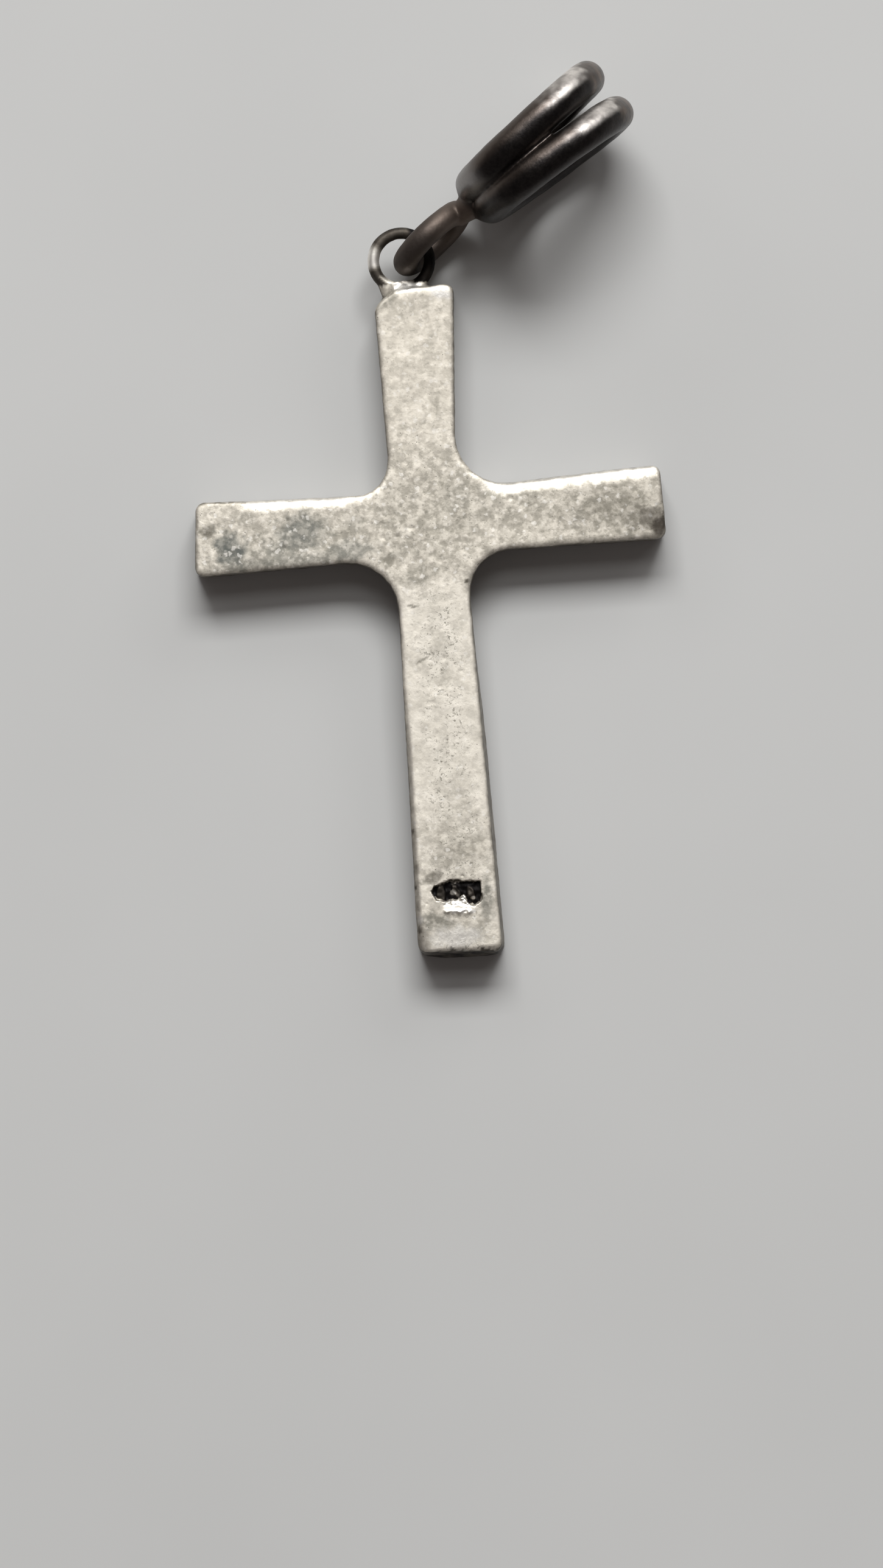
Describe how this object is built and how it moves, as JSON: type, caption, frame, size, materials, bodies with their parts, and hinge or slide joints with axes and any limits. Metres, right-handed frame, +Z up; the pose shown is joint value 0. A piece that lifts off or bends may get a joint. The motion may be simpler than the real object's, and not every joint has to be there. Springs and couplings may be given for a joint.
{
  "type": "cross pendant with double-ring bail",
  "caption": "Plain cast silver cross pendant lying on its front, with a soldered eyelet ring and a splayed bail of two oval rings on a small link ring.",
  "frame": {"origin": "crossing of the arms, on the front face that the pendant lies on", "axes": "+Y along the top arm towards the eyelet, +X along the right-hand arm seen from the back, +Z up out of the back"},
  "size_m": [0.0194, 0.036, 0.007],
  "materials": {
    "silver": "matte worn cast silver with grey flecks and light tarnish",
    "dark_silver": "polished dark oxidised silver wire"
  },
  "bodies": {
    "root": {"cross": "silver", "bail": "dark_silver"}
  },
  "joints": []
}
